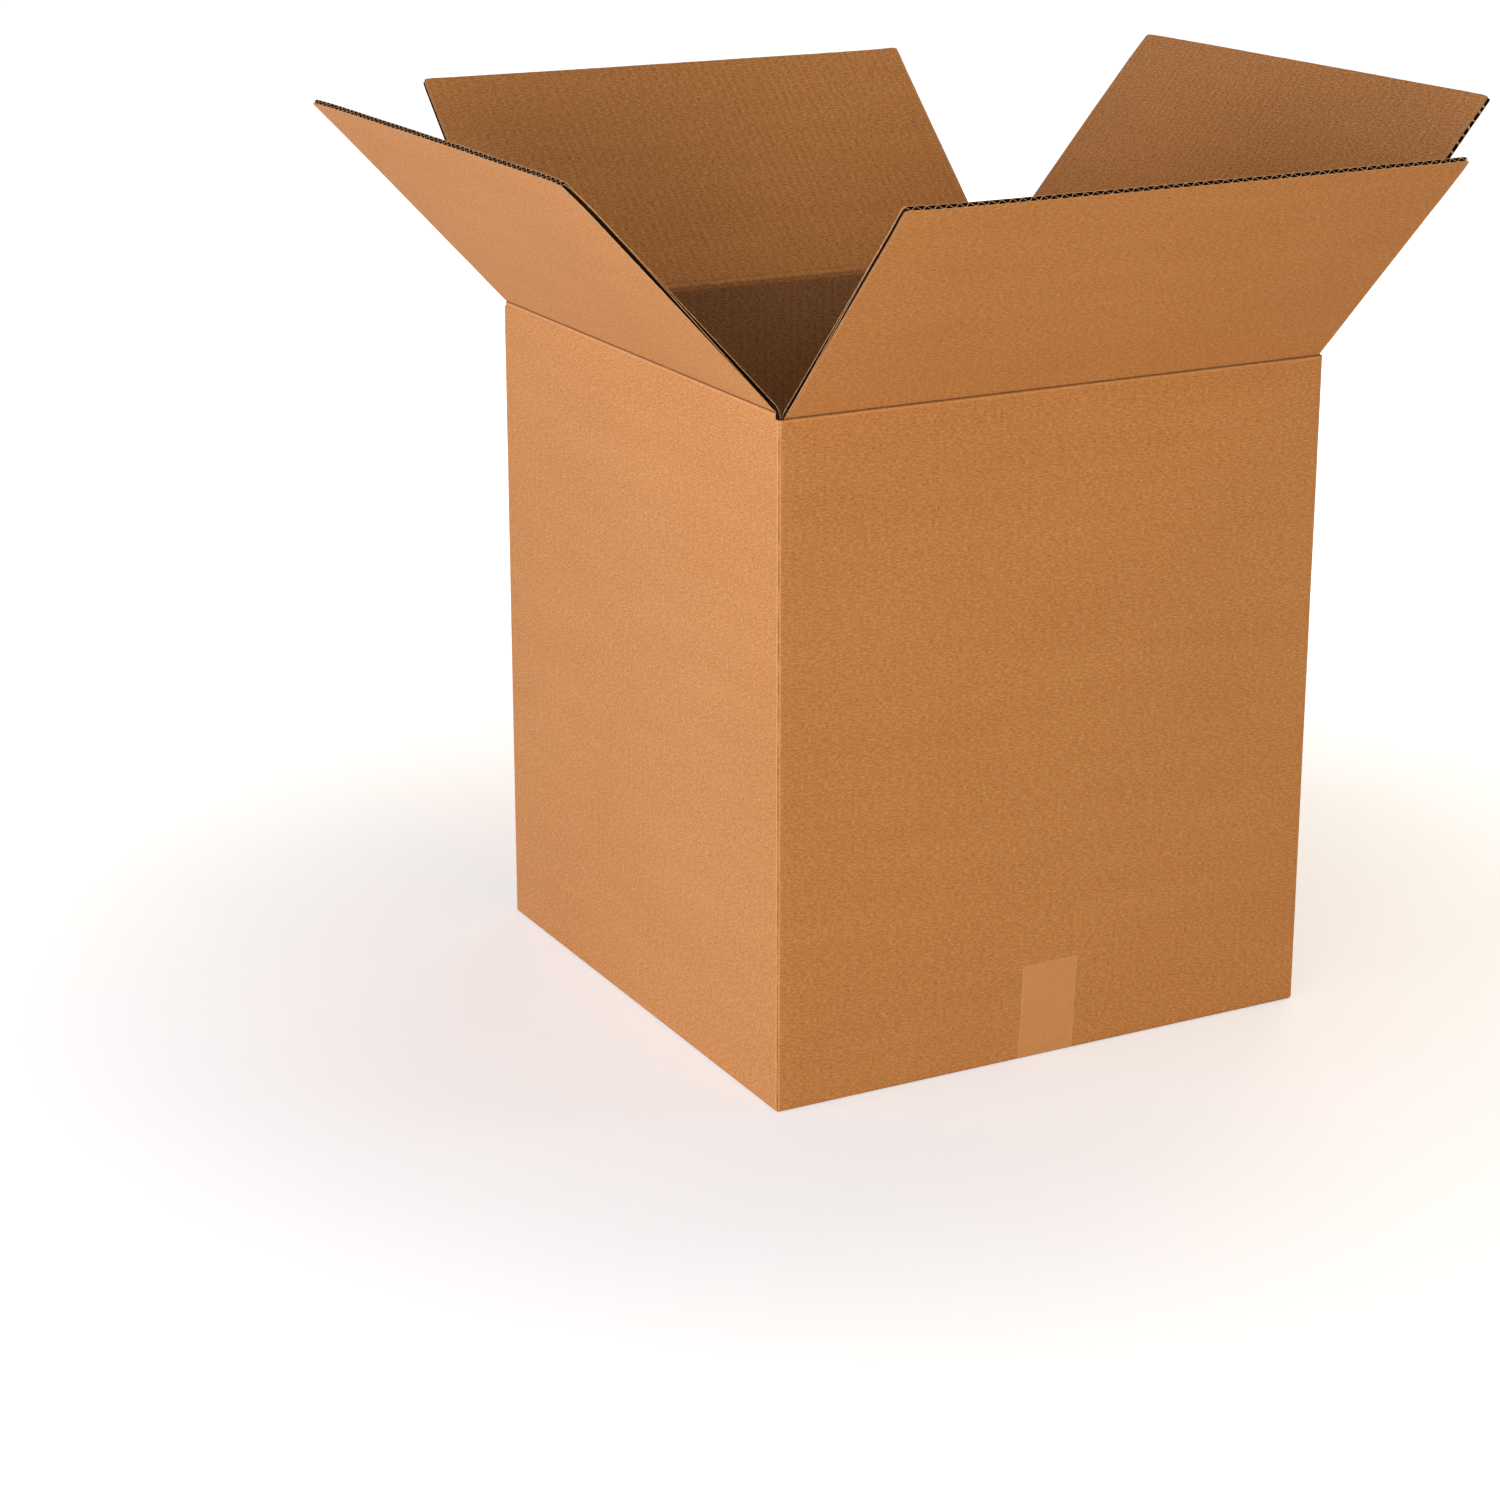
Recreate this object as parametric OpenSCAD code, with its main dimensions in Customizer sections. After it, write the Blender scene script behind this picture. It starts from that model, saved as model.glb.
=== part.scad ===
// Open cardboard box: a regular slotted carton of single-wall corrugated board.
// It is one blank, folded and glued at one corner. Its four bottom flaps are shut and taped,
// and its four top flaps stand open on their creases.
// The seam of the outer flaps runs along Y. The inner flaps hinge on the front and back walls,
// and the outer flaps hinge on the left and right walls.
// The origin is the middle of the base, on the surface that the box stands on.

/* [Box] */
// Inside width, between the left and right walls
inside_w = 457; // [300:1:700]
// Inside length, between the front and back walls
inside_l = 457; // [300:1:700]
// Inside depth, between the closed inner flaps
inside_h = 508; // [200:1:900]

/* [Board] */
// Thickness of the corrugated board
board_t = 4; // [2.5:0.1:7]
// Thickness of each liner
liner_t = 0.35; // [0.2:0.05:0.6]
// Thickness of the wavy paper between the liners, measured across the board
medium_t = 0.25; // [0.15:0.05:0.5]
// Distance from one flute to the next
flute_pitch = 8; // [5:0.1:12]
// Width of the glue line where the wavy paper meets a liner
glue_line = 0.3; // [0.2:0.05:0.8]
// Straight steps that draw one flute
flute_steps = 3; // [3:1:8]

/* [Folds] */
// Radius of the outside of a fold
fold_r = 2.5; // [1:0.1:4]
// Height of the crushed band at the foot of each top flap
crush_h = 9; // [7:0.5:20]
// Distance of a crease's turning line in front of the wall
crease_offset = 0.2; // [0.1:0.05:0.5]
// Clearance between the bevels of a wall and its closed flap
crease_gap = 0.3; // [0.2:0.05:1]
// Clearance between flaps that lie on one another
layer_gap = 0.3; // [0.2:0.05:1]

/* [Flaps] */
// Clearance between an inner flap's side and the wall that it shuts past
slot_clearance = 0.75; // [0.4:0.05:3]
// How far the slots between the flaps run past the creases
slot_overrun = 0.5; // [0:0.1:5]
// Gap between two flaps that meet in the middle
seam_gap = 2; // [1:0.5:6]
// Angle of the front top flap, outwards from upright
front_open = 44; // [0:1:160]
// Angle of the back top flap
back_open = 47; // [0:1:160]
// Angle of the left top flap
left_open = 43; // [0:1:160]
// Angle of the right top flap
right_open = 40; // [0:1:160]

/* [Glued joint] */
// Width of the glue tab
tab_w = 35; // [25:1:60]
// How far each end of the tab tapers
tab_taper = 8; // [2:1:20]
// Distance of the tab's ends from the flaps
tab_clearance = 2; // [1:0.5:10]
// How far the joined wall stops short of the corner
joint_setback = 1; // [0.5:0.1:3]

/* [Tape] */
// Width of the tape
tape_w = 48; // [36:1:72]
// Thickness of the tape
tape_t = 0.1; // [0.05:0.05:0.3]
// Height of each end of the tape on its wall
tape_leg = 76; // [40:1:150]
// Sideways lean of the tape's ends, at their top
tape_lean = 3; // [-8:0.5:8]
// Distance between the teeth of the tape's cut edge
tooth_pitch = 2; // [1:0.5:4]
// Height of the teeth
tooth_h = 0.8; // [0.4:0.1:2]

/* [Hidden] */
$fn = 48;
kraft_outside = [0.80, 0.58, 0.38];
kraft_flap = [0.74, 0.52, 0.32];
tape_colour = [0.84, 0.66, 0.48];
cut_past = 1;

outer_w = inside_w + 2 * board_t;
outer_l = inside_l + 2 * board_t;
// The slot takes the same from both flaps beside it.
slot_half = board_t + slot_clearance;
base_z = tape_t;
floor_z = base_z + 2 * board_t + layer_gap;
// A closed flap's outer face lies crease_offset below its turning line.
inner_crease_z = floor_z + inside_h + board_t + crease_offset;
outer_crease_z = inner_crease_z + board_t + layer_gap;
// Half of the bevels' clearance, measured upright.
bevel_drop = crease_gap / sqrt(2);
outer_flap_depth = outer_w / 2 - seam_gap / 2;
inner_flap_depth = min(outer_w, outer_l) / 2 - seam_gap / 2;
outer_flap_w = outer_l - 2 * slot_half;
inner_flap_w = outer_w - 2 * slot_half;
flute_depth = board_t - 2 * liner_t - medium_t;

// Depth of the wave at a share s of one flute, 0 at its glue lines and 1 at its far side
function wave(s) = (1 - cos(360 * s)) / (1 - cos(360 * floor(flute_steps / 2) / flute_steps));

// Open space between the wavy paper and one liner, with the liner's side at y = 0
module flute_space(pitch) {
    span = pitch - glue_line;
    polygon([for (i = [0 : flute_steps])
        [span * (i / flute_steps - 0.5), flute_depth * wave(i / flute_steps)]]);
}

// Section of a flap across its flutes, from its outer face at y = 0
module board_section(width) {
    flutes = round(width / flute_pitch);
    pitch = width / flutes;
    difference() {
        translate([-width / 2, 0])
            square([width, board_t]);
        for (k = [0 : flutes - 1])
            translate([-width / 2 + (k + 0.5) * pitch, liner_t])
                flute_space(pitch);
        for (k = [0 : flutes])
            translate([-width / 2 + k * pitch, board_t - liner_t])
                mirror([0, 1])
                    flute_space(pitch);
    }
}

// Profile of the crushed band, with its bevel. x is the depth into the board, y the height.
module crush_profile() {
    foot = crease_offset + bevel_drop;
    polygon([[0, foot], [board_t, foot + board_t], [board_t, crush_h], [0, crush_h]]);
}

// A top flap standing upright on its turning line, which lies along X at the origin.
// Its outer face looks towards -Y.
module flap(width, depth) {
    translate([0, crease_offset, 0]) {
        translate([0, 0, crush_h])
            linear_extrude(depth + crease_offset - crush_h)
                board_section(width);
        translate([-width / 2, 0, 0])
            rotate([90, 0, 90])
                linear_extrude(width)
                    crush_profile();
    }
}

// Puts a flap on its turning line: side 0 is the front, 90 the right, 180 the back and 270 the left.
module hang(side, reach, height, open) {
    rotate([0, 0, side])
        translate([0, -reach - crease_offset, height])
            rotate([open, 0, 0])
                children();
}

module front_inner_flap() {
    color(kraft_flap)
        hang(0, outer_l / 2, inner_crease_z, front_open)
            flap(inner_flap_w, inner_flap_depth);
}

module back_inner_flap() {
    color(kraft_flap)
        hang(180, outer_l / 2, inner_crease_z, back_open)
            flap(inner_flap_w, inner_flap_depth);
}

module left_outer_flap() {
    color(kraft_flap)
        hang(270, outer_w / 2, outer_crease_z, left_open)
            flap(outer_flap_w, outer_flap_depth);
}

module right_outer_flap() {
    color(kraft_flap)
        hang(90, outer_w / 2, outer_crease_z, right_open)
            flap(outer_flap_w, outer_flap_depth);
}

// What a fold of the given radius leaves off a square corner at the origin, filling -x, -y
module fold_corner() {
    difference() {
        square(fold_r + cut_past);
        translate([fold_r, fold_r])
            circle(fold_r);
        translate([fold_r, -cut_past])
            square(fold_r + 3 * cut_past);
        translate([-cut_past, fold_r])
            square(fold_r + 3 * cut_past);
    }
}

// The four walls seen from above: three round folds, and the glued joint at the back right,
// where the edge of the joined wall is cut along a flute
module wall_plan() {
    difference() {
        square([outer_w, outer_l], center = true);
        square([inside_w, inside_l], center = true);
        for (corner = [[-1, -1], [1, -1], [-1, 1]])
            translate([corner.x * outer_w / 2, corner.y * outer_l / 2])
                mirror([corner.x > 0 ? 1 : 0, 0])
                    mirror([0, corner.y > 0 ? 1 : 0])
                        fold_corner();
        translate([inside_w / 2, outer_l / 2 - joint_setback])
            square([board_t + cut_past, joint_setback + cut_past]);
        translate([inside_w / 2 + liner_t, outer_l / 2 - joint_setback])
            rotate(-90)
                flute_space(flute_pitch);
        translate([inside_w / 2, outer_l / 2])
            rotate(180)
                fold_corner();
    }
}

// Cutter for the top of a wall at y = -reach: the bevel that its closed flap shuts against
module bevel_cutter(width, reach, height) {
    top = height - crease_offset - bevel_drop;
    translate([-width / 2, -reach, top])
        rotate([90, 0, 90])
            linear_extrude(width)
                polygon([[-cut_past, cut_past], [board_t + cut_past, -board_t - cut_past],
                    [board_t + cut_past, 3 * board_t], [-cut_past, 3 * board_t]]);
}

// Cutter for the slots at the four corners, from the slots' ends upwards
module slot_cutter(height) {
    for (x = [-1, 1], y = [-1, 1])
        translate([x * outer_w / 2 - slot_half, y * outer_l / 2 - slot_half, 0])
            cube([2 * slot_half, 2 * slot_half, height]);
}

// Cutter that rounds the fold at the foot of the wall at y = -reach
module foot_cutter(width, reach) {
    translate([-width / 2 - cut_past, -reach, base_z])
        rotate([90, 0, 90])
            linear_extrude(width + 2 * cut_past)
                fold_corner();
}

module walls() {
    difference() {
        translate([0, 0, base_z])
            linear_extrude(outer_crease_z - base_z)
                wall_plan();
        for (side = [0, 180])
            rotate([0, 0, side])
                bevel_cutter(inner_flap_w + 2 * slot_half, outer_l / 2, inner_crease_z);
        for (side = [90, 270])
            rotate([0, 0, side])
                bevel_cutter(outer_flap_w, outer_w / 2, outer_crease_z);
        translate([0, 0, inner_crease_z - slot_overrun])
            slot_cutter(2 * board_t);
        translate([0, 0, base_z - cut_past])
            slot_cutter(cut_past + slot_overrun);
        for (side = [0, 180])
            rotate([0, 0, side])
                foot_cutter(outer_w, outer_l / 2);
        for (side = [90, 270])
            rotate([0, 0, side])
                foot_cutter(outer_l, outer_w / 2);
    }
}

// The shut bottom flaps. The outer pair lies on the base, and the inner pair lies on it.
module bottom_flaps() {
    reach = outer_w / 2 - board_t / 2;
    for (side = [-1, 1])
        translate([side > 0 ? seam_gap / 2 : -reach, -outer_flap_w / 2, base_z])
            cube([reach - seam_gap / 2, outer_flap_w, board_t]);
    for (side = [0, 180])
        rotate([0, 0, side])
            translate([-inner_flap_w / 2, -outer_l / 2 + board_t / 2, floor_z - board_t])
                cube([inner_flap_w, inner_flap_depth - board_t / 2, board_t]);
}

// The tab folds off the back wall and is glued inside the right wall.
module glue_tab() {
    low = floor_z + tab_clearance;
    high = floor_z + inside_h - tab_clearance;
    translate([inside_w / 2 - board_t, inside_l / 2, 0])
        rotate([90, 0, 90])
            linear_extrude(board_t)
                polygon([[0, low], [0, high], [-tab_w, high - tab_taper], [-tab_w, low + tab_taper]]);
}

module carton_body() {
    color(kraft_outside) {
        walls();
        bottom_flaps();
        glue_tab();
    }
}

// Outline of the tape around the base, seen from the right
module tape_loop(grow) {
    half = outer_l / 2 + grow;
    r = fold_r + grow;
    foot = base_z - grow;
    translate([-half, foot + r])
        square([2 * half, tape_leg]);
    translate([-half + r, foot])
        square([2 * (half - r), r + cut_past]);
    for (side = [-1, 1])
        translate([side * (half - r), foot + r])
            circle(r);
}

// Front view of the tape: it leans a little, and its cut end has teeth
module tape_front() {
    teeth = round(tape_w / tooth_pitch);
    step = tape_w / teeth;
    polygon(concat(
        [[tape_w / 2, -cut_past], [-tape_w / 2, -cut_past], [-tape_w / 2, 0]],
        [for (i = [0 : 2 * teeth])
            [-tape_w / 2 + tape_lean + i * step / 2, tape_leg - (i % 2) * tooth_h]],
        [[tape_w / 2, 0]]));
}

module bottom_tape() {
    color(tape_colour)
        intersection() {
            translate([-tape_w / 2 - abs(tape_lean), 0, 0])
                rotate([90, 0, 90])
                    linear_extrude(tape_w + 2 * abs(tape_lean))
                        difference() {
                            tape_loop(tape_t);
                            tape_loop(0);
                            translate([-outer_l / 2, base_z + fold_r])
                                square([outer_l, 2 * tape_leg]);
                        }
            translate([0, outer_l, 0])
                rotate([90, 0, 0])
                    linear_extrude(2 * outer_l)
                        tape_front();
        }
}

carton_body();
front_inner_flap();
back_inner_flap();
left_outer_flap();
right_outer_flap();
bottom_tape();
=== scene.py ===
import math
from itertools import product

import bmesh
import bpy
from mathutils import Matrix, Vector, noise


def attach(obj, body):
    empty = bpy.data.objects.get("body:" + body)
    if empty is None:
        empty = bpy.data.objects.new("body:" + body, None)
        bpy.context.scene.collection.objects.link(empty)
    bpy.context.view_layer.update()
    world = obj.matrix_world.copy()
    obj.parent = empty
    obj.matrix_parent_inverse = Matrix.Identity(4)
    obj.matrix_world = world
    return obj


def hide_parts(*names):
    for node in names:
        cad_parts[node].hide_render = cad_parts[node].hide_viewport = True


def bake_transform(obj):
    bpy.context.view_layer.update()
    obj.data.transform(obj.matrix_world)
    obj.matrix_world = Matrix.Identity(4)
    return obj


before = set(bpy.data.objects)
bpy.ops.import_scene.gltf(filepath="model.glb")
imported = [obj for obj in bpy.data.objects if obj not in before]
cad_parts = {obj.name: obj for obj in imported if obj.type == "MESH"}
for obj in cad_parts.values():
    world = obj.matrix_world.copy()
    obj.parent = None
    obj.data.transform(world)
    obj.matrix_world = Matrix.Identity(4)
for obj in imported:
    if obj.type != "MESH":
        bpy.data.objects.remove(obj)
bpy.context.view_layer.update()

# Lengths are in millimetres until a mesh is made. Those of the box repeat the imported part's.
MM = 0.001
INSIDE_WIDTH = 457.0    # and length
INSIDE_HEIGHT = 508.0
BOARD = 4.0
LINER = 0.35
FLUTE_PITCH = 8.0
FOLD_R = 2.5
CRUSH = 9.0             # where a top flap's flutes open
OFFSET = 0.2            # a crease's turning line to the outer face
LAYER_GAP = 0.3         # between flaps that lie on one another
SEAM_GAP = 2.0          # between flaps that meet in the middle
SLOT_CLEARANCE = 0.75   # between an inner flap's side and the wall that it shuts past
SLOT_OVERRUN = 0.5
JOINT_SETBACK = 1.0     # how far the joined wall stops short of the corner
TAB_WIDTH = 35.0
TAB_TAPER = 8.0
TAB_CLEARANCE = 2.0
BASE = 0.1              # underside of the board, which stands on the tape

HALF = INSIDE_WIDTH / 2 + BOARD         # half of the outer width and length
INNER_FLOOR = BASE + 2 * BOARD + LAYER_GAP
INNER_LINE = INNER_FLOOR + INSIDE_HEIGHT + BOARD + OFFSET   # the inner flaps' turning lines
OUTER_LINE = INNER_LINE + BOARD + LAYER_GAP                 # the outer flaps' turning lines
CORNER_TOP = INNER_LINE - SLOT_OVERRUN
SLOT = BOARD + SLOT_CLEARANCE           # half of a slot
PANEL = HALF - SLOT                     # half of a flap's width
REACH = HALF - SEAM_GAP / 2             # outer face of a wall to a flap's free edge
DEPTH = REACH + OFFSET                  # turning line to a top flap's free edge
FLUTES = round(2 * PANEL / FLUTE_PITCH)
PITCH = 2 * PANEL / FLUTES

# What only the picture needs
LAYERS = [0.0, LINER, BOARD - LINER, BOARD]
MEDIUM = 0.42           # the wavy paper, which is drawn thick so that it shows at the cuts
SLANT = 5.0 / (DEPTH - CRUSH)   # how far the flutes run out of line with the flaps' sides
STRIP = 6.0             # half of the width of a crease strip
CORNER_OPEN = CORNER_TOP - 8.0  # from here up, the corners show the gap between their liners
INNER_FOLD_R = SLOT - BOARD
TAB_FOLD_R = 1.5        # inside of the glue tab's fold
PANEL_STEPS = 24        # columns across a wall

# name: turn about Z, height of the turning line, angle of the flap outwards from upright
SIDES = {
    "right": (90.0, OUTER_LINE, 40.0),
    "front": (0.0, INNER_LINE, 44.0),
    "left": (270.0, OUTER_LINE, 43.0),
    "back": (180.0, INNER_LINE, 47.0),
}
ORDER = list(SIDES)
FLAP_NODES = {
    "right": "right_outer_flap",
    "front": "front_inner_flap",
    "left": "left_outer_flap",
    "back": "back_inner_flap",
}
OUTSIDE, INSIDE, CUT, FLUTE = range(4)
# Shifts on the blank that give these faces patterns of their own
INSIDE_AT, LONG_EDGE_AT, SHORT_EDGE_AT, WAVE_AT = 10000.0, 20000.0, 30000.0, 40000.0
NO_FOLD = 99.0          # a distance at which no fold shows


# Meshes

def wobble(x, y, z=0.0):
    """Smooth noise between about -1 and 1."""
    return noise.noise(Vector((x, y, z)))


class Paper:
    """Faces of board. Each corner has its place on the unfolded blank, in metres, and each
    point its distance from the crease and from the upright folds, in millimetres."""

    def __init__(self):
        self.points, self.creases, self.corners = [], [], []
        self.faces, self.maps, self.papers = [], [], []

    def point(self, p, crease=NO_FOLD, corner=NO_FOLD):
        self.points.append(Vector(p) * MM)
        self.creases.append(crease)
        self.corners.append(corner)
        return len(self.points) - 1

    def face(self, corners, places, paper):
        self.faces.append(corners)
        self.maps.append([(x * MM, y * MM) for x, y in places])
        self.papers.append(paper)

    def build(self, name, materials, smooth_deg=35.0):
        mesh = bpy.data.meshes.new(name)
        mesh.from_pydata(self.points, [], self.faces)
        for material in materials:
            mesh.materials.append(material)
        layer = mesh.uv_layers.new(name="Blank")
        flat = [c for places in self.maps for place in places for c in place]
        layer.data.foreach_set("uv", flat)
        mesh.polygons.foreach_set("material_index", self.papers)
        for label, values in (("crease", self.creases), ("corner", self.corners)):
            mesh.attributes.new(label, "FLOAT", "POINT").data.foreach_set("value", values)
        bm = bmesh.new()
        bm.from_mesh(mesh)
        bmesh.ops.recalc_face_normals(bm, faces=bm.faces)
        for face in bm.faces:
            face.smooth = True
        limit = math.radians(smooth_deg)
        for edge in bm.edges:
            if len(edge.link_faces) != 2 or edge.calc_face_angle(0.0) > limit:
                edge.smooth = False
        bm.to_mesh(mesh)
        bm.free()
        obj = bpy.data.objects.new(name, mesh)
        bpy.context.scene.collection.objects.link(obj)
        return obj


def cells(paper, us, vs, depths, place, solid, blank, marks=None):
    """Adds the skin of the solid cells of a grid. place(i, j, k) gives a point, blank(i, j) its
    place on the blank, and marks(i, j) its distances."""
    made = {}
    last = len(depths) - 2

    def node(i, j, k):
        if (i, j, k) not in made:
            made[i, j, k] = paper.point(place(i, j, k), *(marks(i, j) if marks else ()))
        return made[i, j, k]

    def there(i, j, k):
        inside = 0 <= i < len(us) - 1 and 0 <= j < len(vs) - 1 and 0 <= k <= last
        return inside and solid(i, j, k)

    def skin(i, j, k, axis, way):
        """The face of one cell that looks along an axis, or against it where way is -1."""
        a, b = [x for x in range(3) if x != axis]
        ring = []
        for da, db in ((0, 0), (1, 0), (1, 1), (0, 1)):
            at = [i, j, k]
            at[axis] += way > 0
            at[a] += da
            at[b] += db
            ring.append(tuple(at))
        if axis == 2:
            shift = INSIDE_AT if way > 0 else 0.0
            places = [(blank(p, q)[0] + shift, blank(p, q)[1]) for p, q, _ in ring]
            kind = FLUTE
            if k == 0 and way < 0:
                kind = OUTSIDE
            elif k == last and way > 0:
                kind = INSIDE
        else:
            along, shift = (0, LONG_EDGE_AT) if axis == 1 else (1, SHORT_EDGE_AT)
            places = [(blank(p, q)[along] + shift, depths[r]) for p, q, r in ring]
            kind = FLUTE if 0 < k < last else CUT
        paper.face([node(*p) for p in ring], places, kind)

    for i, j, k in product(range(len(us) - 1), range(len(vs) - 1), range(len(depths) - 1)):
        for axis, way in product(range(3), (-1, 1)):
            beside = [i, j, k]
            beside[axis] += way
            if there(i, j, k) and not there(*beside):
                skin(i, j, k, axis, way)


def spread(low, high, steps):
    """Even steps from low to high, with both ends."""
    return [low + (high - low) * i / steps for i in range(steps + 1)]


# Where things are

def turned(side, s, y, z):
    """A point that is given beside one wall: s along it, y towards the middle from the axis of
    the box, as on the front wall."""
    a = math.radians(SIDES[side][0])
    return Vector((s * math.cos(a) - y * math.sin(a), s * math.sin(a) + y * math.cos(a), z))


def bow(side, s, z):
    """How far a wall stands in from flat."""
    k = ORDER.index(side)
    foot, height, even, uneven = 8.0, 500.0, 0.25, 0.35
    across = max(0.0, math.cos(math.pi * s / (2 * HALF)))
    up = max(0.0, math.sin(math.pi * min(max((z - foot) / height, 0), 1)))
    lift = even * (1 if k % 2 else -1) + uneven * wobble(s / 130, z / 150, 3.1 * k)
    return across * up * lift


def wall_point(side, s, z, depth):
    """A point in the board of a wall: s along it, and depth in from its outer face."""
    return turned(side, s, -HALF + depth + bow(side, s, z), z)


def foot_inset(z):
    """How far the outer face stands in at the fold at the foot of a wall."""
    rise = BASE + FOLD_R - z
    return 0.0 if rise <= 0 else FOLD_R - math.sqrt(max(FOLD_R ** 2 - rise ** 2, 0.0))


def flap_warp(side, s, h):
    """How far a top flap stands in from flat. A flap that shuts below bends in, and one that
    shuts above bends out, so that shut flaps stay apart."""
    k = ORDER.index(side)
    way = 1.0 if side in ("front", "back") else -1.0
    flat = 12.0             # nothing is bent as near to the crease as this
    most_curl, most_soft, more_bent, less_bent, corner_area = 0.5, 0.35, 0.9, 0.3, 250.0
    far = max(0.0, (h - flat) / (DEPTH - flat))
    curl = most_curl * far * far * (s / PANEL) ** 2
    soft = most_soft * far * (1 + wobble(s / 90, h / 80, 7.7 * k))
    near_corner = math.exp(-((PANEL - abs(s)) ** 2 + (DEPTH - h) ** 2) / corner_area)
    dog_ear = near_corner * (more_bent if (s > 0) == (k % 2 == 0) else less_bent)
    return way * (curl + soft + dog_ear)


def hinge(side, s, y, h, angle):
    """A point beside a turning line: y towards the box and h along the flap, turned by angle."""
    a = math.radians(angle)
    return turned(side, s, -HALF - OFFSET + y * math.cos(a) - h * math.sin(a),
                  SIDES[side][1] + y * math.sin(a) + h * math.cos(a))


def flap_point(side, s, h, depth):
    """A point in the board of a top flap, h from its turning line. The free corners are rubbed
    round."""
    most, reach = 0.8, 2.0
    rubbed = most * math.exp(-(PANEL - abs(s) + DEPTH - h) / reach)
    y = OFFSET + depth + flap_warp(side, s, h)
    return hinge(side, s - math.copysign(rubbed, s), y, h - rubbed, SIDES[side][2])


def blank_u(side, s):
    """Place along the blank of a point of a wall or flap."""
    return ORDER.index(side) * 2 * HALF + HALF - s


# The walls, bottom flaps and glue tab

def wall_columns():
    """The strip from the joined edge round to the fold of the glue tab. Each column has its
    outer and inner point, its place on the blank and its distance from a fold, and the zone
    of the board from there to the next column."""
    columns = []

    def station(side, s, zone):
        columns.append({"side": side, "s": s, "u": blank_u(side, s), "zone": zone,
                        "fold": HALF - abs(s)})

    def bend(side, turn, outer, inner, u, zone):
        columns.append({"side": side, "outer": outer, "inner": inner, "turn": turn, "u": u,
                        "zone": zone, "fold": FOLD_R * abs(turn - math.pi / 4)})

    station("right", HALF - JOINT_SETBACK, "corner")
    centre, fold_steps = HALF - FOLD_R, 6
    for k, side in enumerate(ORDER[:3]):
        for s in spread(PANEL, -PANEL, PANEL_STEPS):
            station(side, s, side if s > -PANEL else "corner")
        for n in range(fold_steps + 1):
            # The walls' own ends are the first and last points of the inner arc.
            turn = math.radians(90.0 * n / fold_steps)
            small = math.radians(90.0 * (n + 1) / (fold_steps + 2))
            bend(side, turn,
                 (-centre - FOLD_R * math.sin(turn), -centre - FOLD_R * math.cos(turn)),
                 (-PANEL - INNER_FOLD_R * math.sin(small), -PANEL - INNER_FOLD_R * math.cos(small)),
                 (k + 1) * 2 * HALF + FOLD_R * (turn - math.pi / 4), "corner")
    # The fold of the tab is one board further in.
    centre -= BOARD
    for s in spread(PANEL, -centre + BOARD, PANEL_STEPS):
        station("back", s, "back")
    slot_side = 44.4        # the turn at which the outer face passes the side of the slot
    for degrees in (0, 15, 30, slot_side, 60, 75, 90):
        turn = math.radians(degrees)
        bend("back", turn,
             (-centre - FOLD_R * math.sin(turn), -HALF + FOLD_R - FOLD_R * math.cos(turn)),
             (-HALF + 2 * BOARD + TAB_FOLD_R - TAB_FOLD_R * math.sin(turn),
              -HALF + BOARD + TAB_FOLD_R - TAB_FOLD_R * math.cos(turn)),
             8 * HALF - BOARD + FOLD_R * (turn - math.pi / 4),
             "back" if degrees < slot_side else "corner")
    return columns


def make_walls():
    """The four walls, up to the crease strips and to the foot of each slot."""
    columns = wall_columns()
    inner_top, outer_top = INNER_LINE - STRIP, OUTER_LINE - STRIP
    foot = [BASE + FOLD_R * (1 - math.cos(math.radians(22.5 * n))) for n in range(5)]
    heights = foot + [6.0, 15.0] + spread(30.0, 500.0, 20)
    heights += [CORNER_OPEN, inner_top, outer_top, CORNER_TOP]
    tops = {"front": inner_top, "back": inner_top, "left": outer_top, "right": outer_top,
            "corner": CORNER_TOP}

    def place(i, j, k):
        c, z, depth = columns[i], heights[j], LAYERS[k]
        share = depth / BOARD
        inset = foot_inset(z) * (1 - share)
        if "s" in c:            # on a flat part, and not in a fold
            # Only the joined edge, the first column, is a cut.
            s = c["s"] + 0.12 * wobble(z / 9, 5.0) * (i == 0)
            return wall_point(c["side"], s, z, depth + inset)
        ox, oy = c["outer"]
        ix, iy = c["inner"]
        # The folds are knocked in a little here and there.
        dent = inset + 0.16 * (wobble(z / 23, i * 0.3, 9.0) + 0.6) * (1 - share)
        ox += dent * math.sin(c["turn"])
        oy += dent * math.cos(c["turn"])
        return turned(c["side"], ox + (ix - ox) * share, oy + (iy - oy) * share, z)

    def solid(i, j, k):
        where = columns[i]["zone"]
        if heights[j + 1] > tops[where] + 0.01:
            return False
        if k == 1 and where == "corner" and heights[j] >= CORNER_OPEN:
            return False
        return not (k == 1 and i == 0)

    def blank(i, j):
        return columns[i]["u"], heights[j]

    def marks(i, j):
        line = SIDES[columns[i]["side"]][1]
        return heights[j] - line, columns[i]["fold"]

    paper = Paper()
    cells(paper, columns, heights, LAYERS, place, solid, blank, marks)
    return paper


def slab(paper, us, vs, place, blank, open_u=(), open_v=()):
    """A plain piece of board with its two liners, open between them in the cells named."""
    def solid(i, j, k):
        return not (k == 1 and (i in open_u or j in open_v))

    def on_grid(i, j, k):
        return place(us[i], vs[j], LAYERS[k])

    cells(paper, us, vs, LAYERS, on_grid, solid, lambda i, j: blank(us[i], vs[j]))


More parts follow.
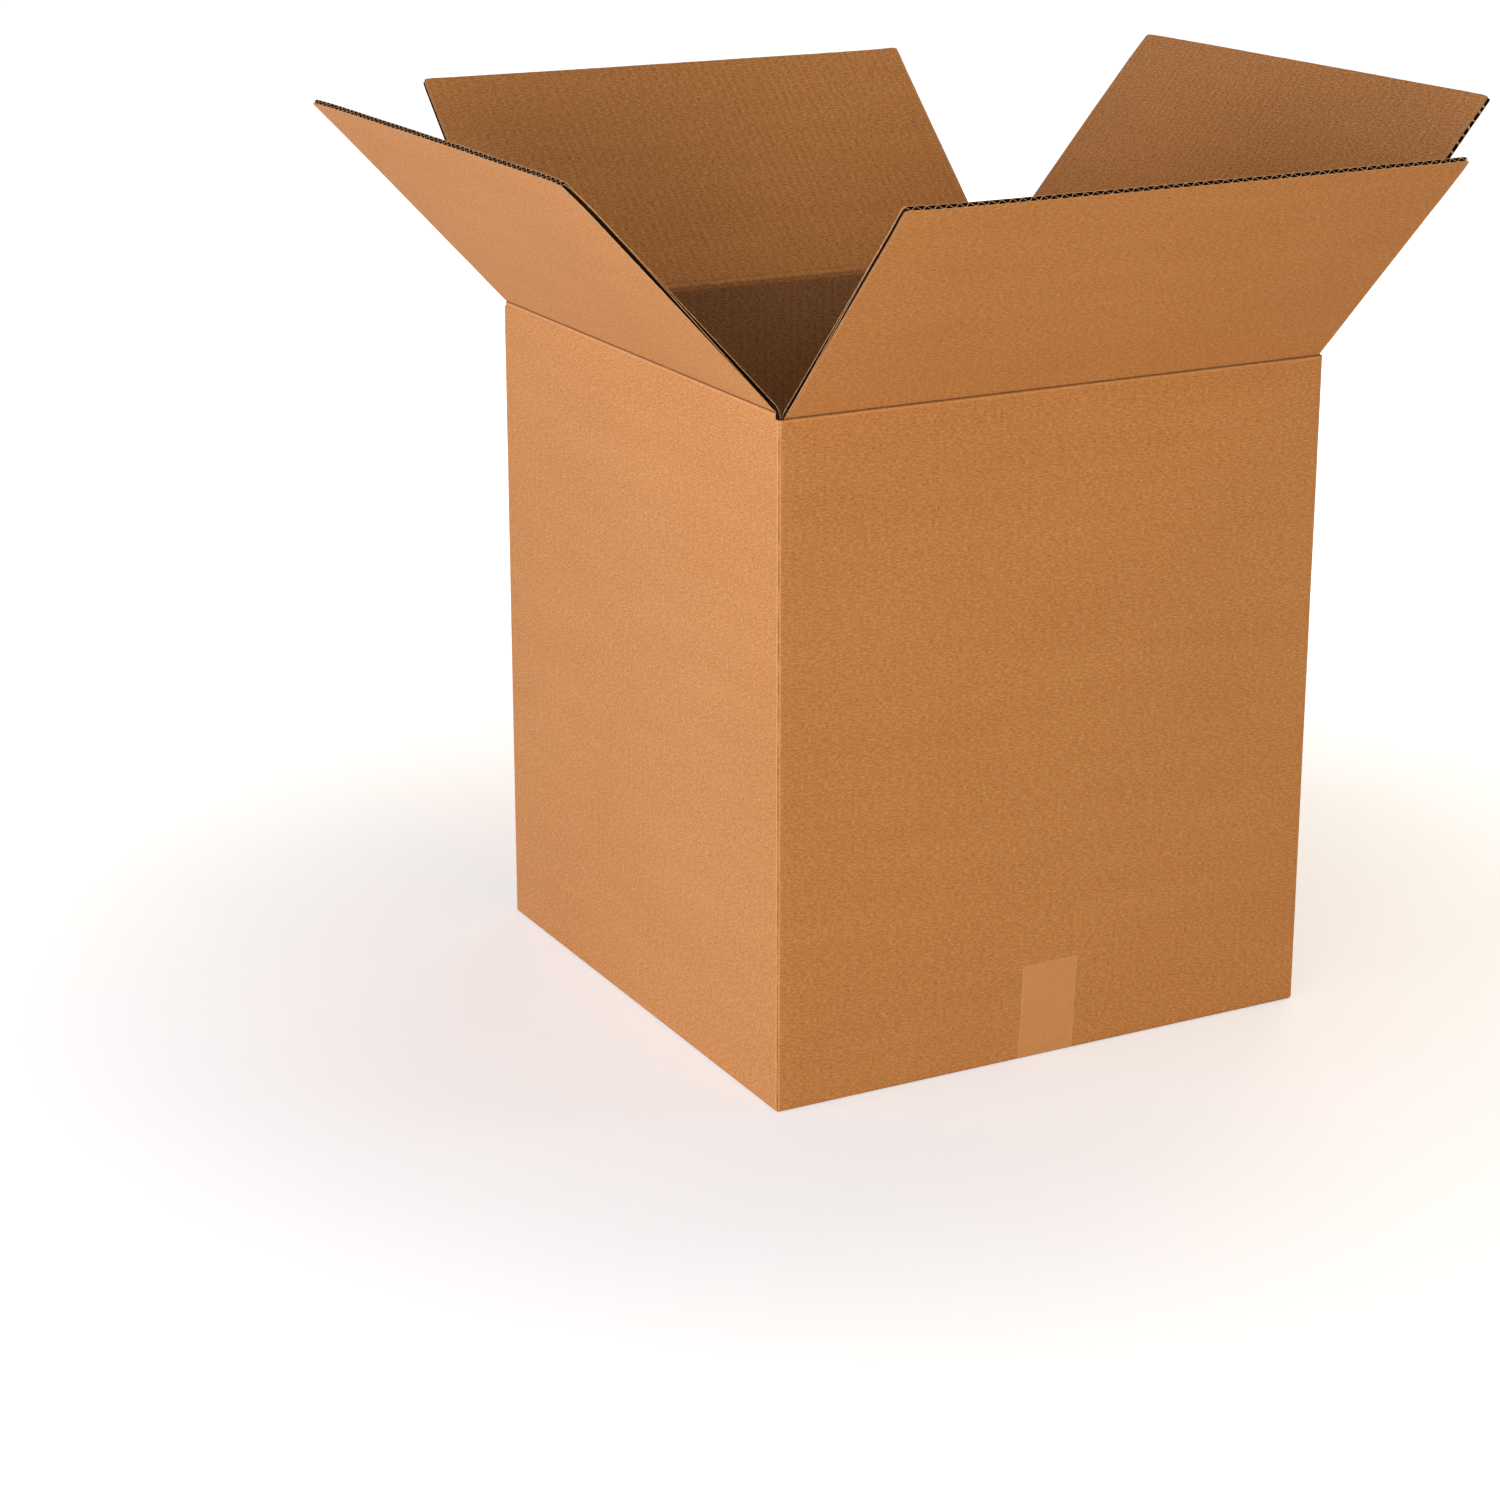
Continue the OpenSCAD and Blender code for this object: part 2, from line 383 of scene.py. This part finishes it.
def make_bottom():
    """The four bottom flaps. The outer pair is the lower one."""
    paper = Paper()
    upper = BASE + BOARD + LAYER_GAP
    us = [-PANEL, -PANEL + PITCH / 2] + spread(-200.0, 200.0, 16) + [PANEL - PITCH / 2, PANEL]
    vs = [BOARD, 12.0] + spread(30.0, 210.0, 9) + [REACH - 8.0, REACH]
    for side, low in (("left", BASE), ("right", BASE), ("front", upper), ("back", upper)):
        def place(s, v, depth, side=side, low=low):
            edge = 0.15 * wobble(s / 3, v, 2.0) if v == REACH else 0.0
            return turned(side, s, -HALF + v + edge, low + depth)

        def blank(s, v, side=side):
            return blank_u(side, s), -v

        # The far edge shows its flutes, and the sides are cut along one.
        slab(paper, us, vs, place, blank, open_u=(0, len(us) - 2), open_v=(len(vs) - 2,))
    return paper


def make_tab():
    """The glue tab inside the right wall."""
    paper = Paper()
    low = INNER_FLOOR + TAB_CLEARANCE
    high = INNER_FLOOR + INSIDE_HEIGHT - TAB_CLEARANCE
    glue = 0.05
    root = HALF - BOARD
    # It begins inside the board of the fold.
    us = [230.0, 226.0] + spread(222.0, 198.0, 6) + [root - TAB_WIDTH]
    shares = spread(0.0, 1.0, 20)

    def place(s, share, depth):
        cut = TAB_TAPER * max(0.0, (root - s) / TAB_WIDTH)
        edge = 0.15 * wobble(share * 60, 4.0) if s == us[-1] else 0.0
        z = low + cut + (high - low - 2 * cut) * share
        return turned("right", s + edge, -HALF + BOARD + glue + depth, z)

    def blank(s, share):
        return 4 * 2 * HALF - BOARD + HALF - s, low + (high - low) * share

    slab(paper, us, shares, place, blank, open_u=(len(us) - 2,))
    return paper


# The top flaps

def flute(phase):
    """Depth of the middle of the wavy paper, at a share of a turn. It dips into the liners."""
    dip = 0.03
    reach = (BOARD - 2 * LINER - MEDIUM) / 2 + dip
    return BOARD / 2 - reach * math.cos(2 * math.pi * phase)


def make_flap(side):
    """A top flap above its crease strip."""
    paper = Paper()
    rough = 11.0 * (ORDER.index(side) + 1)
    add_liners(paper, side, rough)
    add_wave(paper, side, rough)
    if side == "right":
        add_torn_bits(paper, side, -1, rough)
    return paper


def add_liners(paper, side, rough):
    """The two liners of a top flap, and its crushed band between them."""
    us = spread(-PANEL, PANEL, 2 * FLUTES)
    hs = [STRIP, CRUSH, 14.0, 25.0, 45.0, 75.0, 110.0, 145.0, 180.0, 205.0, 222.0, 229.5, DEPTH]

    def place(i, j, k):
        s, h, depth = us[i], hs[j], LAYERS[k]
        # The two liners are cut a little differently.
        liner = 1.5 * (k > 1)
        if j == len(hs) - 1:
            h += 0.16 * wobble(s / 2.5, rough, liner)
            depth += 0.10 * wobble(s / 6, rough + 5, liner)
        if i in (0, len(us) - 1):
            s += 0.14 * wobble(h / 7, rough + i, liner)
        return flap_point(side, s, h, depth)

    def solid(i, j, k):
        return k != 1 or hs[j] < CRUSH

    def blank(i, j):
        return blank_u(side, us[i] - SLANT * (hs[j] - STRIP)), SIDES[side][1] + hs[j]

    def marks(i, j):
        return hs[j], PANEL - abs(us[i])

    cells(paper, us, hs, LAYERS, place, solid, blank, marks)


def add_wave(paper, side, rough):
    """The wavy paper of a top flap: straight flutes in the middle, and finer strips where the
    sides cut them."""
    end, recess, edge_gap = 6.0, 0.1, 0.05

    def wave_point(s, h, way):
        """A point of the wavy paper, on the side of it that way gives. Near the free edge it
        is a little out of shape."""
        phase = (s - SLANT * (h - CRUSH)) / PITCH + 0.5
        last = max(0.0, 1 - (DEPTH - h) / end)
        shift = 0.09 * last * wobble(s / 5, rough + 2)
        # Where the sheet slopes it is drawn deeper, so that it stays as thick across.
        slope = 2 * math.pi / PITCH * 1.5 * math.sin(2 * math.pi * phase)
        mid = flute(phase + shift)
        mid += (BOARD / 2 - mid) * 0.05 * last * (1 + wobble(s / 4, rough + 8))
        depth = mid + way * MEDIUM / 2 * math.sqrt(1 + min(slope * slope, 1.2))
        inset = LINER * 0.6
        depth = min(max(depth, inset), BOARD - inset)
        return flap_point(side, s, h, depth)

    def sheet(columns, rows, at):
        """A closed thin sheet over a grid. at(i, j) gives a point's (s, h)."""
        index = {}
        for i in range(columns):
            for j in range(rows):
                s, h = at(i, j)
                for way in (-1, 1):
                    index[i, j, way] = paper.point(wave_point(s, h, way), h)

        def add(ring, kind=FLUTE):
            places = [(at(i, j)[0] + WAVE_AT, at(i, j)[1]) for i, j, _ in ring]
            paper.face([index[p] for p in ring], places, kind)

        for i in range(columns - 1):
            for j in range(rows - 1):
                for way in (-1, 1):
                    add([(i, j, way), (i + 1, j, way), (i + 1, j + 1, way), (i, j + 1, way)])
        for i in range(columns - 1):
            for j in (0, rows - 1):
                add([(i, j, -1), (i + 1, j, -1), (i + 1, j, 1), (i, j, 1)], CUT)
        for j in range(rows - 1):
            for i in (0, columns - 1):
                add([(i, j, -1), (i, j + 1, -1), (i, j + 1, 1), (i, j, 1)], INSIDE)

    steps = 12              # columns in one flute
    # The slanting flutes leave a wedge at each side for the finer strips.
    first = -PANEL + 1.5 * PITCH
    count = round((2 * PANEL - 4.0 * PITCH) / PITCH * steps)
    ends = [CRUSH, DEPTH - end, DEPTH - recess]

    def middle(i, j):
        return first + i * PITCH / steps + SLANT * (ends[j] - CRUSH), ends[j]

    sheet(count + 1, len(ends), middle)
    rows = spread(CRUSH, DEPTH - end, 26) + [DEPTH - 3.0, DEPTH - recess]
    left_steps, right_steps = 24, 32

    def left_strip(i, j):
        inner = first + SLANT * (rows[j] - CRUSH)
        return -PANEL + edge_gap + (inner + PANEL - edge_gap) * i / left_steps, rows[j]

    def right_strip(i, j):
        inner = first + count * PITCH / steps + SLANT * (rows[j] - CRUSH)
        return inner + (PANEL - edge_gap - inner) * i / right_steps, rows[j]

    sheet(left_steps + 1, len(rows), left_strip)
    sheet(right_steps + 1, len(rows), right_strip)


def add_torn_bits(paper, side, end, rough):
    """Bits of the wavy paper that stand between the liners at one cut side of a flap."""
    insets, depths = (0.12, 1.5), (LINER * 0.7, BOARD - LINER * 0.7)
    h = CRUSH + 4.0
    while h < DEPTH - 5.0:
        size = 1.3 + 0.9 * wobble(h / 3, rough, end)
        lean = 1.6 * wobble(h / 4, rough + 6, end)

        def torn(i, j, k, h=h, size=size, lean=lean):
            return flap_point(side, end * (PANEL - insets[i]), h + size * j + lean * k, depths[k])

        cells(paper, (0, 1), (0, 1), (0, 1), torn, lambda i, j, k: True,
              lambda i, j, h=h, size=size: (h + size * j, h + size * j))
        h += size + 3.2 + 9.0 * abs(wobble(h / 5, rough + 4, 2.5 * end))


def make_crease(side):
    """The strip of board that bends where a top flap meets its wall."""
    paper = Paper()
    angle = SIDES[side][2]
    rough = 17.0 * (ORDER.index(side) + 1)
    us = spread(-PANEL, PANEL, 76)
    # Distances from the turning line, below it and above it
    qs = [-STRIP, -4.6, -3.4, -2.5, -1.8, -1.2, -0.75, -0.4, -0.15, 0.15, 0.4, 0.75, 1.2, 1.8,
          2.5, 3.4, 4.6, STRIP]
    shares = [0.0, LINER / BOARD, 1 - LINER / BOARD, 1.0]

    def place(i, j, k):
        s, q = us[i], qs[j]
        # The inner liner bends within a shorter length than the outer one.
        bend = 3.0 - 2.1 * shares[k]
        t = min(max((q + bend) / (2 * bend), 0.0), 1.0)
        turn = angle * t * t * (3 - 2 * t)
        fade = min(1.0, (STRIP - abs(q)) / 2.0)
        # The outer liner is pressed in along the crease, and the inner one nearly meets it.
        outer = OFFSET + 0.42 * math.exp(-(q / 0.6) ** 2) * (1 + 0.5 * wobble(s / 14, rough))
        outer += 0.10 * fade * wobble(s / 9, q / 3, rough)
        crushed = 0.8 * math.exp(-(q / 1.7) ** 2)
        inner = OFFSET + BOARD - crushed * (1 + 0.25 * wobble(s / 20, rough + 3))
        y = outer + (inner - outer) * shares[k]
        if q < 0:
            lift = bow(side, s, SIDES[side][1] + q)
        else:
            lift = flap_warp(side, s, q)
        return hinge(side, s, y + lift, q, turn)

    def blank(i, j):
        return blank_u(side, us[i]), SIDES[side][1] + qs[j]

    def marks(i, j):
        return qs[j], HALF - abs(us[i])

    cells(paper, us, qs, shares, place, lambda i, j, k: True, blank, marks)
    return paper


# The tape

def make_tape():
    """The tape over the bottom seam: up the front wall, under the base and up the back wall."""
    width, leg, lean, thick, glue = 48.0, 76.0, 3.0, 0.1, 0.005
    paper = Paper()
    across = spread(-width / 2, width / 2, 48)
    upright = [leg, 74.6, 70.0, 55.0, 40.0, 25.0, 12.0, 2.6]
    upright += [BASE + FOLD_R * (1 - math.cos(math.radians(a))) for a in (60, 35, 15, 0)]
    stops = [("front", z) for z in upright]
    stops += [("under", y) for y in spread(-225.0, 225.0, 12)]
    stops += [("back", z) for z in reversed(upright)]
    run = [0.0]
    for (_, a), (_, b) in zip(stops, stops[1:]):
        run.append(run[-1] + max(0.5, abs(a - b)))

    def place(i, j, k):
        x, (part, at) = across[i], stops[j]
        out = glue + thick * (1 - k)
        if part == "under":
            return Vector((x, at, BASE - out))
        way = 1.0 if part == "front" else -1.0
        z = at
        if j in (0, len(stops) - 1):
            # The cut end has teeth, with one torn place.
            z += -0.9 * (i % 2) + 0.45 * wobble(i * 0.7, j) + 1.3 * math.exp(-((i - 22) / 2.2) ** 2)
        shift = lean * max(z - FOLD_R, 0.0) / leg
        rise = BASE + FOLD_R - z
        if rise <= 0:
            return wall_point(part, way * (x + shift), z, -out)
        turn = math.acos(min(1.0, rise / FOLD_R))
        r = FOLD_R + out
        y = -HALF + FOLD_R - r * math.sin(turn)
        return turned(part, way * x, y, BASE + FOLD_R - r * math.cos(turn))

    cells(paper, across, stops, [0.0, thick], place, lambda i, j, k: True,
          lambda i, j: (across[i], run[j]))
    return paper


# Materials

class Nodes:
    """A short way to write the nodes of a material or a world."""

    def __init__(self, owner):
        owner.use_nodes = True
        self.tree = owner.node_tree
        self.tree.nodes.clear()

    def add(self, kind, values=None, **settings):
        """Adds a node. A socket among the values is linked, and any other value is set."""
        node = self.tree.nodes.new(kind)
        for key, value in settings.items():
            setattr(node, key, value)
        for key, value in (values or {}).items():
            if isinstance(value, bpy.types.NodeSocket):
                self.tree.links.new(value, node.inputs[key])
            else:
                node.inputs[key].default_value = value
        return node

    def math(self, operation, a, b=None, c=None, clamp=False):
        values = {0: a}
        if b is not None:
            values[1] = b
        if c is not None:
            values[2] = c
        node = self.add("ShaderNodeMath", values, operation=operation, use_clamp=clamp)
        return node.outputs[0]

    def mix(self, share, a, b, blend="MIX"):
        node = self.add("ShaderNodeMix", data_type="RGBA", blend_type=blend)
        for index, value in ((0, share), (6, a), (7, b)):
            if isinstance(value, bpy.types.NodeSocket):
                self.tree.links.new(value, node.inputs[index])
            else:
                node.inputs[index].default_value = value
        return node.outputs[2]

    def ramp(self, value, low, high, to_low=0.0, to_high=1.0, kind="SMOOTHSTEP"):
        node = self.add("ShaderNodeMapRange", {0: value, 1: low, 2: high, 3: to_low, 4: to_high},
                        interpolation_type=kind)
        return node.outputs[0]

    def noise(self, vector, scale, detail=2.0, rough=0.55):
        node = self.add("ShaderNodeTexNoise", {"Vector": vector, "Scale": scale,
                                               "Detail": detail, "Roughness": rough})
        return node.outputs["Fac"]

    def stretch(self, vector, scale):
        """Places that are scaled, so that a pattern is drawn out where the scale is small."""
        node = self.add("ShaderNodeVectorMath", {0: vector, 1: scale}, operation="MULTIPLY")
        return node.outputs[0]

    def bump(self, height):
        """Relief, from a height in millimetres."""
        node = self.add("ShaderNodeBump", {"Height": height, "Strength": 1.0, "Distance": MM})
        return node.outputs[0]

    def seen(self):
        """1 for what the camera sees, also in gloss and through glass, and 0 for light."""
        path = self.add("ShaderNodeLightPath")
        either = self.math("MAXIMUM", path.outputs["Is Camera Ray"],
                           path.outputs["Is Glossy Ray"])
        return self.math("MAXIMUM", either, path.outputs["Is Transmission Ray"])


def colour(r, g, b):
    """A colour as a picture shows it, as Blender's linear values."""
    def linear(c):
        c /= 255.0
        return c / 12.92 if c <= 0.04045 else ((c + 0.055) / 1.055) ** 2.4
    return linear(r), linear(g), linear(b), 1.0


def with_specks(n, at, shade, light):
    """A shade with a few dark specks and pale flecks."""
    spots = n.add("ShaderNodeTexVoronoi", {"Vector": at, "Scale": 95.0})
    # Only a few of the cells hold a dark speck or a pale fleck.
    chosen = n.add("ShaderNodeSeparateColor", {0: spots.outputs["Color"]}).outputs[0]
    spot = n.math("MULTIPLY", n.math("LESS_THAN", spots.outputs["Distance"], 0.07),
                  n.math("GREATER_THAN", chosen, 0.982))
    shade = n.mix(n.math("MULTIPLY", spot, 0.75), shade, colour(70, 42, 22))
    flecks = n.add("ShaderNodeTexVoronoi", {"Vector": n.stretch(at, (0.4, 1.0, 1.0)),
                                            "Scale": 260.0})
    picked = n.add("ShaderNodeSeparateColor", {0: flecks.outputs["Color"]}).outputs[1]
    fleck = n.math("MULTIPLY", n.ramp(flecks.outputs["Distance"], 0.10, 0.22, 1.0, 0.0),
                   n.math("GREATER_THAN", picked, 0.93))
    return n.mix(n.math("MULTIPLY", fleck, 0.35), shade, light)


def with_folds(n, at, shade, light, outer):
    """A shade with the marks of the creases and of the upright folds: painted shade and painted
    highlights along them, and dark lines.
    """
    # The colour of the painted shade along the crease and of the dark line along the folds
    dark_line_tone = colour(112, 66, 32)
    crease = n.add("ShaderNodeAttribute", attribute_name="crease").outputs["Fac"]
    corner = n.add("ShaderNodeAttribute", attribute_name="corner").outputs["Fac"]
    # Noise that makes the painted crease shade, the painted highlights and the rubbing patchy
    mark_patches = n.noise(at, 210.0, 2.0)
    if outer:
        # A dark line along the crease, painted shade in its groove, and a pale one just below it, a
        # painted highlight
        line = n.ramp(n.math("ABSOLUTE", crease), 0.45, 1.25, 1.0, 0.0)
        shade = n.mix(n.math("MULTIPLY", line, n.math("MULTIPLY_ADD", mark_patches, 0.5, 0.60)),
                      shade, dark_line_tone)
        pale = n.math("MULTIPLY", n.ramp(crease, -3.4, -2.0),
                      n.ramp(crease, -1.8, -1.1, 1.0, 0.0))
    else:
        # The walls' inside is painted a little darker and duller than that of the flaps, as painted
        # shade inside the box.
        inside_shade = n.mix(1.0, shade, (0.83, 0.98, 1.2, 1.0), "MULTIPLY")
        shade = n.mix(n.ramp(crease, -5.0, -1.0, 1.0, 0.0), shade, inside_shade)
        # A pale line along the ridge inside the crease, a painted highlight
        pale = n.math("MULTIPLY", n.ramp(crease, -0.6, -0.1),
                      n.ramp(crease, 0.6, 1.5, 1.0, 0.0))
    shade = n.mix(n.math("MULTIPLY", pale, n.math("MULTIPLY", mark_patches, 0.9)), shade, light)
    # The upright folds and the flaps' sides have a dark line, and beside it a pale line, partly
    # rubbed paler and partly a painted highlight.
    rub_and_highlight = n.math("MULTIPLY", n.ramp(corner, 0.5, 0.9), n.ramp(corner, 1.2, 2.6, 1.0, 0.0))
    shade = n.mix(n.math("MULTIPLY", rub_and_highlight, n.math("MULTIPLY", mark_patches, 0.8)), shade, light)
    # A dark line, stronger in patches, along the middle of each upright fold and along the flaps'
    # cut sides
    edge_line = n.math("MULTIPLY", n.ramp(corner, 0.25, 0.8, 1.0, 0.0),
                  n.ramp(n.noise(at, 60.0, 3.0), 0.35, 0.65, 0.15, 0.75))
    return n.mix(edge_line, shade, dark_line_tone)


def paper_material(name, base, dark, light, flute_tone, flute_relief, grain=1.0, folds=True,
                   specks=True, gloss=0.4, outer=True):
    """Kraft paper over a fluted board. Its patterns lie on the blank, whose unit is the metre.
    flute_tone and flute_relief say how much the flutes show through."""
    material = bpy.data.materials.new(name)
    n = Nodes(material)
    at = n.add("ShaderNodeUVMap", uv_map="Blank").outputs[0]
    u = n.add("ShaderNodeSeparateXYZ", {0: at}).outputs[0]
    # Fibres lie mostly across the flutes.
    fibre_at = n.stretch(at, (0.45, 1.0, 1.0))
    fibres = n.noise(fibre_at, 800.0, 3.0, 0.6)
    threads = n.noise(n.stretch(at, (0.16, 1.0, 1.0)), 1000.0, 2.0, 0.5)
    mottle = n.noise(at, 150.0, 3.0, 0.55)
    clouds = n.noise(n.stretch(at, (0.12, 1.0, 1.0)), 42.0, 3.0, 0.6)
    broad = n.noise(at, 5.0, 2.0, 0.5)
    # Washboard: the liner is drawn in a little between the flutes.
    turns = n.math("MULTIPLY", u, 2 * math.pi / (PITCH * MM))
    drift = n.math("MULTIPLY", n.noise(at, 14.0, 1.0), 1.6)
    board = n.math("SINE", n.math("ADD", turns, drift))
    patchy = n.ramp(n.noise(at, 9.0, 2.0), 0.3, 0.7, 0.35, 1.0)
    board_tone = n.math("MULTIPLY", n.math("MULTIPLY", board, patchy), flute_tone)
    tone = n.math("ADD", board_tone, 0.5)
    for pattern, amount in ((fibres, 1.6 * grain), (threads, 0.7 * grain),
                            (mottle, 0.26 * grain), (clouds, 0.19), (broad, 0.16)):
        tone = n.math("MULTIPLY_ADD", n.math("SUBTRACT", pattern, 0.5), amount, tone)
    low = n.mix(n.ramp(tone, 0.0, 0.5, kind="LINEAR"), dark, base)
    shade = n.mix(n.ramp(tone, 0.5, 1.0, kind="LINEAR"), low, light)
    relief = n.math("MULTIPLY", board, flute_relief)
    relief = n.math("MULTIPLY_ADD", fibres, 0.020, relief)
    relief = n.math("MULTIPLY_ADD", threads, 0.012, relief)
    rough = n.math("MULTIPLY_ADD", mottle, 0.22, 0.66)
    if specks:
        shade = with_specks(n, at, shade, light)
    if folds:
        shade = with_folds(n, at, shade, light, outer)
    out = n.add("ShaderNodeBsdfPrincipled", {"Base Color": shade, "Roughness": rough,
                                             "Specular IOR Level": gloss,
                                             "Normal": n.bump(relief)})
    n.add("ShaderNodeOutputMaterial", {0: out.outputs[0]})
    return material


def tape_material():
    """Tape with streaks along it and pale edges."""
    material = bpy.data.materials.new("tape_film")
    n = Nodes(material)
    at = n.add("ShaderNodeUVMap", uv_map="Blank").outputs[0]
    across = n.add("ShaderNodeSeparateXYZ", {0: at}).outputs[0]
    streaks = n.noise(n.stretch(at, (1.0, 0.06, 1.0)), 420.0, 2.0)
    mottle = n.noise(at, 140.0, 3.0)
    cloud = n.noise(at, 30.0, 2.0)
    tone = n.math("MULTIPLY_ADD", n.math("SUBTRACT", streaks, 0.5), 0.5, 0.5)
    tone = n.math("MULTIPLY_ADD", n.math("SUBTRACT", mottle, 0.5), 0.7, tone)
    tone = n.math("MULTIPLY_ADD", n.math("SUBTRACT", cloud, 0.5), 0.6, tone, clamp=True)
    shade = n.mix(tone, colour(213, 143, 77), colour(227, 159, 93))
    rim = n.ramp(n.math("ABSOLUTE", across), 0.0228, 0.0238)
    shade = n.mix(n.math("MULTIPLY", rim, 0.45), shade, colour(234, 180, 128))
    rough = n.math("MULTIPLY_ADD", mottle, 0.16, 0.30)
    height = n.math("MULTIPLY_ADD", streaks, 0.012, n.math("MULTIPLY", mottle, 0.02))
    out = n.add("ShaderNodeBsdfPrincipled", {"Base Color": shade, "Roughness": rough,
                                             "Normal": n.bump(height)})
    n.add("ShaderNodeOutputMaterial", {0: out.outputs[0]})
    return material


# In the order of OUTSIDE, INSIDE, CUT and FLUTE
KRAFT = [
    paper_material("kraft_outside", colour(207, 138, 74), colour(170, 105, 48),
                   colour(234, 170, 104), 0.012, 0.008),
    paper_material("kraft_inside", colour(194, 133, 76), colour(145, 93, 47),
                   colour(225, 168, 106), 0.07, 0.035, grain=1.3, outer=False),
    paper_material("kraft_cut", colour(228, 178, 126), colour(184, 126, 78),
                   colour(250, 218, 180), 0.0, 0.0, folds=False, specks=False, gloss=0.25),
    # The wavy paper is drawn far darker than kraft, as painted shade in the flutes
    paper_material("kraft_flute", colour(40, 22, 11), colour(26, 14, 7),
                   colour(66, 38, 20), 0.0, 0.0, folds=False, specks=False, gloss=0.05),
]


# The pieces

walls = make_walls().build("carton_walls", KRAFT)
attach(walls, "carton")
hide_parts("carton_body")

for paper, name in ((make_bottom(), "bottom_flap_boards"), (make_tab(), "glue_tab")):
    piece = paper.build(name, KRAFT)
    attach(piece, "carton")

# Every kind of face on the tape has the one material.
tape = make_tape().build("bottom_tape_strip", [tape_material()] * 4)
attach(tape, "carton")
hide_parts("bottom_tape")

for side in ORDER:
    flap = make_flap(side).build(side + "_flap_board", KRAFT)
    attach(flap, side + "_flap")
    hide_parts(FLAP_NODES[side])
    strip = make_crease(side).build(side + "_crease_board", KRAFT)
    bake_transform(strip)


# Floor, light and camera

def floor_material(albedo, near, far):
    """A pale surface that shows white to the camera and keeps its shadows. The lamps light it only
    near the box, so its glow grows with the distance, from near to far. Its low glow near the box
    also paints a soft shadow round the box's base."""
    material = bpy.data.materials.new("floor_pale")
    n = Nodes(material)
    place = n.add("ShaderNodeTexCoord").outputs["Object"]
    reach = n.add("ShaderNodeVectorMath", {0: place}, operation="LENGTH").outputs["Value"]
    glow = n.math("MULTIPLY", n.seen(), n.ramp(reach, 0.3, 1.3, near, far))
    matt = n.add("ShaderNodeBsdfDiffuse", {"Color": (albedo, albedo, albedo, 1.0)})
    light = n.add("ShaderNodeEmission", {"Color": WHITE, "Strength": glow})
    both = n.add("ShaderNodeAddShader", {0: matt.outputs[0], 1: light.outputs[0]})
    n.add("ShaderNodeOutputMaterial", {0: both.outputs[0]})
    return material


WHITE = (1.0, 1.0, 1.0, 1.0)
EXTENT, FLOOR_Z = 9.0, -0.0002      # the floor lies just below the tape
mesh = bpy.data.meshes.new("floor")
mesh.from_pydata([(x * EXTENT, y * EXTENT, FLOOR_Z)
                  for x, y in ((-1, -1), (1, -1), (1, 1), (-1, 1))], [], [(0, 1, 2, 3)])
floor = bpy.data.objects.new("floor", mesh)
# The low glow near the box, 0.52, paints a soft shadow round its base
floor.data.materials.append(floor_material(0.70, 0.52, 1.0))
bpy.context.scene.collection.objects.link(floor)

# The camera sees a white room. Its light is dim, and paler near the floor than overhead.
world = bpy.context.scene.world or bpy.data.worlds.new("studio")
bpy.context.scene.world = world
n = Nodes(world)
direction = n.add("ShaderNodeTexCoord").outputs["Generated"]
upward = n.add("ShaderNodeSeparateXYZ", {0: direction}).outputs[2]
room = n.ramp(upward, -0.1, 0.9, 0.28, 0.08, kind="LINEAR")
strength = n.add("ShaderNodeMix", {0: n.seen(), 2: room, 3: 1.0}).outputs[0]
sky = n.add("ShaderNodeBackground", {0: WHITE, 1: strength})
n.add("ShaderNodeOutputWorld", {0: sky.outputs[0]})

# name: place, width and height, watts, tint
LAMPS = {
    "key": ((-2.65, -2.65, 0.65), (2.2, 1.2), 79.0, (1.0, 0.945, 0.80)),
    "side": ((-3.75, 0.0, 0.65), (2.2, 1.2), 34.0, (0.59, 0.98, 1.95)),
    "side_high": ((-3.4, 0.0, 1.6), (2.0, 1.2), 18.6, (1.0, 0.77, 0.65)),
    "top": ((1.25, 0.3, 2.85), (1.4, 1.4), 19.5, (1.0, 0.66, 0.22)),
    "near": ((1.3, -0.9, 1.5), (0.7, 0.7), 3.3, (1.0, 1.15, 1.28)),
    "rim": ((2.6, 2.6, 1.2), (2.0, 2.0), 32.0, (1.0, 1.0, 1.0)),
}
LIT_POINT = Vector((0.0, 0.0, 0.4))
for name, (place, size, watts, tint) in LAMPS.items():
    data = bpy.data.lights.new(name, "AREA")
    data.shape = "RECTANGLE"
    data.size, data.size_y = size
    data.energy = watts
    data.color = tint
    lamp = bpy.data.objects.new(name, data)
    lamp.location = place
    lamp.rotation_euler = (LIT_POINT - Vector(place)).to_track_quat("-Z", "Y").to_euler()
    bpy.context.scene.collection.objects.link(lamp)

# The photograph's camera, as fitted to the box's corners
PICTURE, FOCAL = 1500, 3412.38      # the photograph's width and the focal length, in pixels
camera_data = bpy.data.cameras.new("camera")
camera_data.sensor_width = 36.0
camera_data.lens = FOCAL / PICTURE * camera_data.sensor_width
camera_data.shift_y = -0.07
camera_data.clip_start, camera_data.clip_end = 0.05, 100.0
camera = bpy.data.objects.new("camera", camera_data)
yaw, pitch = math.radians(-27.94), math.radians(16.76)
look = Vector((-math.sin(yaw) * math.cos(pitch), math.cos(yaw) * math.cos(pitch),
               -math.sin(pitch)))
camera.location = (-1.3256, -2.2517, 1.0502)
camera.rotation_mode = "QUATERNION"
camera.rotation_quaternion = look.to_track_quat("-Z", "Y")
bpy.context.scene.collection.objects.link(camera)
bpy.context.scene.camera = camera
bpy.context.scene.view_settings.view_transform = "Standard"
